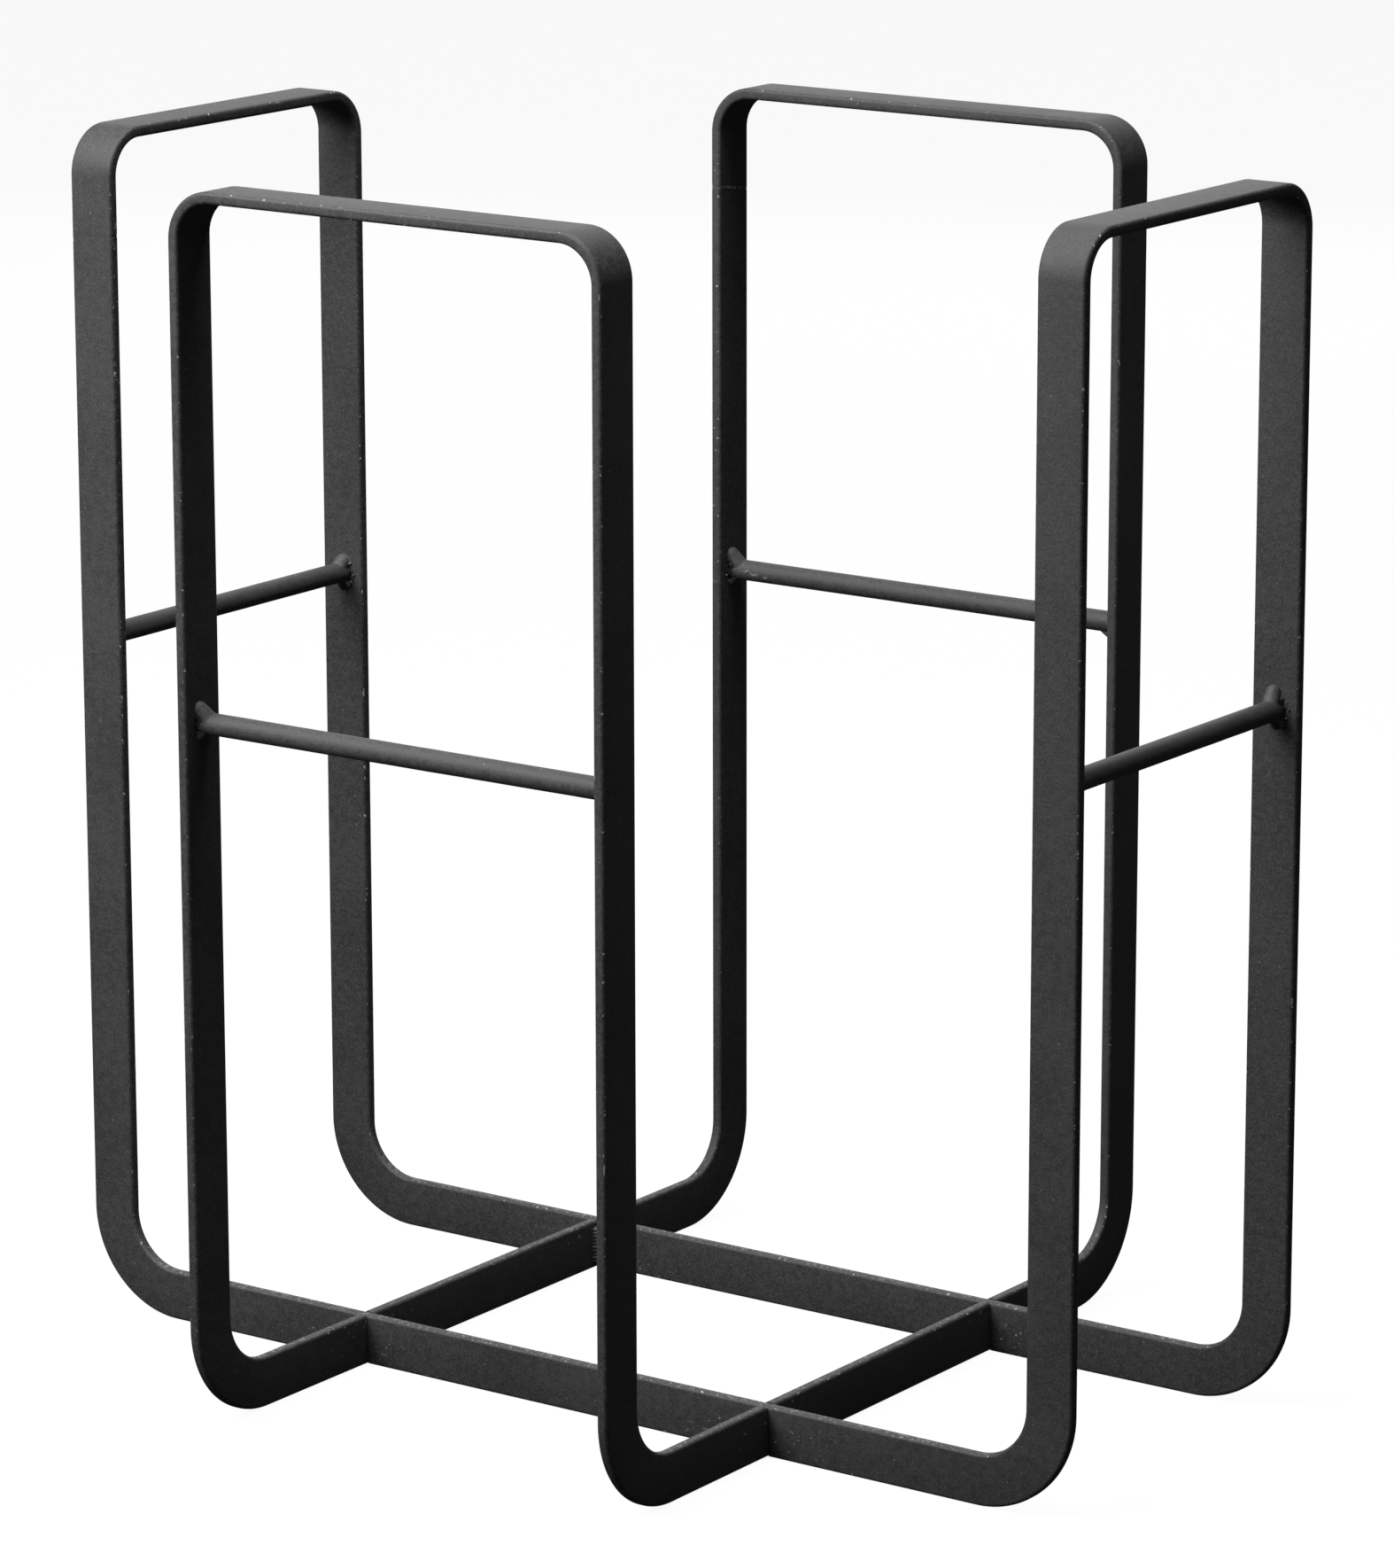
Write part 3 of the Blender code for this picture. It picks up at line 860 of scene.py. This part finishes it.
def make_rod_bead(name, node, away, lean, crown, run, crater_side):
    """The bead round a rod end; away points along the rod.

    The finger on top leans over by this angle and rises by its crown above the rod. The run
    is the metal that sagged below: how far down the bar, and how far along the rod. The
    craters lie to this side of the finger.
    """
    dice = random.Random(name)
    bead = draw_fillet(name)
    edit(bead)
    swell_lobe(lean, (1.8, 1.4, 1.8), 3.0 * MM)
    swell_lobe(math.pi + dice.uniform(-0.3, 0.3), (2.0, 1.4, 1.6), 2.8 * MM)
    for count in range(LUMPS):
        outward = outward_at(dice.uniform(0, 2 * math.pi))
        spot = outward * (rod_radius + dice.uniform(0.3, 1.6) * MM) + UP * dice.uniform(0.2, 1.2) * MM
        pull = (outward + UP * 0.8) * dice.uniform(-0.12, 0.26) * MM
        nudge(spot, pull, dice.uniform(0.9, 1.6) * MM)
    leave_edit()

    main_reach = dice.uniform(2.5, 3.1) * MM
    small_height = dice.uniform(2.3, 2.9) * MM
    small_reach = dice.uniform(1.2, 1.8) * MM
    small_angle = math.pi - 0.5 * crater_side
    lumps = [
        add_finger(lean, crown, main_reach, FINGER_GIRTH, FINGER_FLARE),
        add_finger(small_angle, small_height, small_reach, SMALL_GIRTH, RUN_TAPER),
        add_finger(math.pi, *run, RUN_GIRTH, RUN_TAPER),
    ]
    balls = []
    for count in range(BALLS):
        angle = lean + crater_side * dice.uniform(0.6, 2.5)
        reach = rod_radius + dice.uniform(0.4, 1.5) * MM
        radius = dice.uniform(0.34, 0.52) * MM
        height = 0.35 * MM + max(0.0, rod_radius + 0.9 * MM - reach)
        spot = Vector((reach * math.cos(angle), reach * math.sin(angle), height))
        balls.append((spot, radius))
    lumps += [add_ball(spot, radius) for spot, radius in balls]
    take(bead)
    for lump in lumps:
        lump.select_set(True)
    bpy.ops.object.join()
    fuse(bead)
    apply_modifier(bead, "SMOOTH", factor=0.5, iterations=9)

    edit(bead)
    craters = []
    for turn, depth in ((dice.uniform(0.9, 1.2), 1.4 * MM), (dice.uniform(1.6, 2.0), 1.2 * MM)):
        outward = outward_at(lean + crater_side * turn)
        spot = outward * (rod_radius + 0.7 * MM) + UP * 0.7 * MM
        craters.append(spot - UP * 0.3 * MM)
        nudge(spot, (outward * -0.3 - UP) * depth, CRATER_REACH)
    for count in range(PITS):
        outward = outward_at(math.pi + dice.uniform(-0.8, 0.8))
        spot = outward * (rod_radius + dice.uniform(0.9, 2.0) * MM) + UP * dice.uniform(0.2, 0.8) * MM
        push = -(outward * 0.3 + UP) * dice.uniform(0.25, 0.5) * MM
        nudge(spot, push, dice.uniform(0.35, 0.6) * MM)
    leave_edit()
    paint_bead(bead, craters, balls)
    place_bead(bead, node, away)
    apply_modifier(
        bead, "DISPLACE", texture=cloud_texture("ripple", 1.4 * MM), texture_coords="LOCAL",
        strength=0.12 * MM, mid_level=0.5,
    )
    smooth_shading(bead, 70)
    return bead


AWAY = {"left": (1, 0, 0), "right": (-1, 0, 0), "front": (0, 1, 0), "back": (0, -1, 0)}
FINGERS = {  # how far the finger leans over, and how high its crown is
    "front_left": (0.35, 3.8 * MM),
    "back_left": (0.30, 4.4 * MM),
    "left_back": (-0.10, 2.6 * MM),
    "right_back": (0.10, 4.4 * MM),
}
PLAIN_FINGER = (0.0, 3.0 * MM)
RUNS = {"back_right": (4.3 * MM, 5.9 * MM)}
PLAIN_RUN = (2.6 * MM, 1.4 * MM)
for side in SIDES:
    for end in ("left", "right") if side in ("front", "back") else ("front", "back"):
        node = f"{side}_rod_weld_{end}"
        lean, crown = FINGERS.get(f"{side}_{end}", PLAIN_FINGER)
        bead = make_rod_bead(
            f"{side}_rod_bead_{end}", node, Vector(AWAY[end]), lean, crown,
            run=RUNS.get(f"{side}_{end}", PLAIN_RUN),
            crater_side=-1 if end in ("back", "right") else 1,
        )
        hand_in(bead, bead_coat, "weld_coat", node)

# %% [markdown]
# ## The beads at the crossings
# Where the bottom runs cross, a short upright bead fills the corner that looks to the middle of
# the rack. An upright bead shows ripples, one for each beat of the welder's hand.
#
# A block stands in the corner and loses its outer edge to a wide, nearly round bevel. It is cut into
# slices, every other one is swollen, and remeshing rounds it all off.

# %% Stack the ripples
CORNER_LEG = 3.0 * MM
CORNER_MARGIN = 2.0 * MM
CORNER_CUT = 0.94  # share of the leg that the slanting cut takes
CUT_PROFILE = 0.42  # a half is fully round, a quarter is flat
RIPPLE = 1.1 * MM
RIPPLE_CREST = 0.10
RIPPLE_TROUGH = -0.04
RIPPLE_CHANCE = 0.05
END_TAPER = 0.66


def make_corner_bead(name, node):
    """The upright bead of one crossing."""
    low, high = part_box(node)
    side_x = math.copysign(1, low.x + high.x)
    side_y = math.copysign(1, low.y + high.y)
    corner_x = side_x * (front_band[1].x - bar_thickness)
    corner_y = side_y * (side_band[1].y - bar_thickness)
    corner = Vector((corner_x, corner_y, 0))
    inward = Vector((-side_x, -side_y, 0))
    tall = bar_width - 2 * CORNER_MARGIN
    size = CORNER_LEG + SUNK
    middle = corner + inward * (CORNER_LEG - SUNK) / 2 + UP * bar_width / 2
    bead = start_piece(name, bpy.ops.mesh.primitive_cube_add, size=1, location=middle)
    bead.scale = (size, size, tall)
    set_in_place(bead)
    edit(bead, "EDGE")
    outer = corner + inward * CORNER_LEG
    pick(lambda edge: all((v.co.xy - outer.xy).length < 0.1 * MM for v in edge.verts), "edges")
    bpy.ops.mesh.bevel(offset=CORNER_LEG * CORNER_CUT, segments=8, profile=CUT_PROFILE, affect="EDGES")
    slices = int(tall / RIPPLE) * 2
    for step in range(1, slices):
        bpy.ops.mesh.select_all(action="SELECT")
        level = bar_width / 2 + tall * (step / slices - 0.5)
        bpy.ops.mesh.bisect(plane_co=(0, 0, level), plane_no=(0, 0, 1))
    bpy.ops.mesh.select_mode(type="VERT")
    dice = random.Random(name)
    for step in range(slices + 1):
        level = bar_width / 2 + tall * (step / slices - 0.5)
        pick(lambda vertex: abs(vertex.co.z - level) < 0.1 * MM)
        wave = RIPPLE_CREST if step % 2 else RIPPLE_TROUGH
        swell = 1.0 + wave + dice.uniform(-RIPPLE_CHANCE, RIPPLE_CHANCE)
        if step in (0, slices):
            swell = END_TAPER
        bpy.ops.transform.resize(value=(swell, swell, 1), center_override=corner)
    leave_edit()
    fuse(bead)
    apply_modifier(bead, "SMOOTH", factor=0.5, iterations=4)
    apply_modifier(
        bead, "DISPLACE", texture=cloud_texture("ripple", 1.3 * MM), texture_coords="LOCAL",
        strength=0.18 * MM, mid_level=0.5,
    )
    smooth_shading(bead, 70)
    return bead


for corner_name in ("front_left", "front_right", "back_left", "back_right"):
    node = f"crossing_weld_{corner_name}"
    hand_in(make_corner_bead(f"crossing_bead_{corner_name}", node), bead_coat, "weld_coat", node)

# %% [markdown]
# ## Floor, light and camera
# A plain pale floor and large soft panels, as in a small product studio. The main panel hangs
# in front, to the left and above, so tops and fronts come out grey and the sides that look
# right fall away to black. A panel overhead lights the top bars and the rods, one behind keeps
# the far sides readable, and a weak one on the right keeps the black sides from closing up.
# The floor glows as brightly as the backdrop, so it hardly shows a shadow, and it throws no
# light back up, which keeps the blacks deep.

# %% Lay the floor
FLOOR_SIZE = 14
FLOOR_PAINT = (0.055, 0.055, 0.055, 1)
PALE = (0.94, 0.94, 0.94, 1)
AMBIENT = (0.035, 0.035, 0.035, 1)

select_nothing()
bpy.ops.mesh.primitive_plane_add(size=FLOOR_SIZE, location=(0, 0, 0))
floor = bpy.context.object
floor.name = "studio_floor"
floor_paint = Wiring("pale_floor")
floor_paint.tree.nodes.remove(floor_paint.shader)
paint = floor_paint.add("ShaderNodeBsdfDiffuse")
paint.inputs["Color"].default_value = FLOOR_PAINT
lit = floor_paint.add("ShaderNodeEmission")
lit.inputs["Color"].default_value = PALE
both = floor_paint.add("ShaderNodeAddShader")
floor_paint.join(paint.outputs["BSDF"], both.inputs[0])
floor_paint.join(lit.outputs["Emission"], both.inputs[1])
floor_output = floor_paint.tree.nodes["Material Output"]
floor_paint.join(both.outputs["Shader"], floor_output.inputs["Surface"])
floor.data.materials.append(floor_paint.material)
floor.visible_diffuse = False
floor.visible_glossy = False
floor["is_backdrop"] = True

# %% Hang the lights
rack_middle = (cad_low + cad_high) / 2


def direction_to(azimuth, elevation):
    """Unit vector towards an azimuth and elevation in degrees; azimuth 0 is front, 90 right."""
    turn, tilt = math.radians(azimuth), math.radians(elevation)
    return Vector((math.sin(turn) * math.cos(tilt), -math.cos(turn) * math.cos(tilt), math.sin(tilt)))


def hang_panel(name, azimuth, elevation, distance, size, power):
    """A square soft panel that looks at the rack."""
    panel = bpy.data.lights.new(name, "AREA")
    panel.shape = "SQUARE"
    panel.size = size
    panel.energy = power
    lamp = bpy.data.objects.new(name, panel)
    lamp.location = rack_middle + direction_to(azimuth, elevation) * distance
    lamp.rotation_mode = "QUATERNION"
    lamp.rotation_quaternion = direction_to(azimuth, elevation).to_track_quat("Z", "Y")
    bpy.context.scene.collection.objects.link(lamp)
    print(f"{name}: {power} W at {distance} m")


hang_panel("main_panel", azimuth=-28, elevation=42, distance=1.15, size=0.9, power=26)
hang_panel("back_panel", azimuth=208, elevation=24, distance=2.2, size=1.8, power=20)
hang_panel("top_panel", azimuth=90, elevation=84, distance=1.3, size=0.5, power=15)
hang_panel("side_fill", azimuth=75, elevation=20, distance=2.6, size=1.2, power=2.2)

# %% Set the surroundings
sky = bpy.data.worlds.new("studio")
sky.use_nodes = True
bpy.context.scene.world = sky
surround = sky.node_tree.nodes["Background"]
surround.inputs["Color"].default_value = AMBIENT
backdrop = sky.node_tree.nodes.new("ShaderNodeBackground")
backdrop.inputs["Color"].default_value = PALE
seen = sky.node_tree.nodes.new("ShaderNodeLightPath")
choose = sky.node_tree.nodes.new("ShaderNodeMixShader")
sky_output = sky.node_tree.nodes["World Output"]
join = sky.node_tree.links.new
join(seen.outputs["Is Camera Ray"], choose.inputs["Fac"])
join(surround.outputs["Background"], choose.inputs[1])
join(backdrop.outputs["Background"], choose.inputs[2])
join(choose.outputs["Shader"], sky_output.inputs["Surface"])
bpy.context.scene.view_settings.view_transform = "Standard"
print("backdrop", PALE[0], "seen, light from all round", AMBIENT[0])

# %% [markdown]
# ## Set up the camera
# A long lens from two metres away keeps the uprights nearly parallel. It stands to the right of
# the front and looks slightly down, so that all four loops show and none hides another.

# %% Place the camera
CAMERA_AZIMUTH = 35.3608
CAMERA_ELEVATION = 13.57
CAMERA_DISTANCE = 2.01816
CAMERA_LENS = 152.48
CAMERA_ROLL = -0.0988
AIM_OFF_CENTRE = Vector((18.44, -15.18, 0)) * MM
SENSOR_WIDTH = 36
NEAREST = 0.05
FARTHEST = 60

lens = bpy.data.cameras.new("studio_camera")
lens.lens = CAMERA_LENS
lens.sensor_width = SENSOR_WIDTH
camera = bpy.data.objects.new("studio_camera", lens)
bpy.context.scene.collection.objects.link(camera)
towards_camera = direction_to(CAMERA_AZIMUTH, CAMERA_ELEVATION)
camera.location = rack_middle + AIM_OFF_CENTRE + towards_camera * CAMERA_DISTANCE
roll = Matrix.Rotation(math.radians(CAMERA_ROLL), 3, towards_camera).to_quaternion()
camera.rotation_mode = "QUATERNION"
camera.rotation_quaternion = roll @ towards_camera.to_track_quat("Z", "Y")
lens.clip_start = NEAREST
lens.clip_end = FARTHEST
bpy.context.scene.camera = camera
print(f"camera {CAMERA_DISTANCE:.2f} m away, {CAMERA_AZIMUTH:.0f} degrees round")

# %% [markdown]
# ## Print the sizes
# Both boxes, the CAD's and the finished pieces', are printed side by side, with the number of
# triangles in the pieces.

# %% Write the sizes and finish
low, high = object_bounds()
for name, before, after in zip("xyz", cad_high - cad_low, high - low):
    print(f"{name}: CAD {before / MM:.2f} mm, shown {after / MM:.2f} mm")
triangles = sum(len(face.vertices) - 2 for piece in pieces_made for face in piece.data.polygons)
print("pieces:", len(pieces_made), "triangles:", triangles)
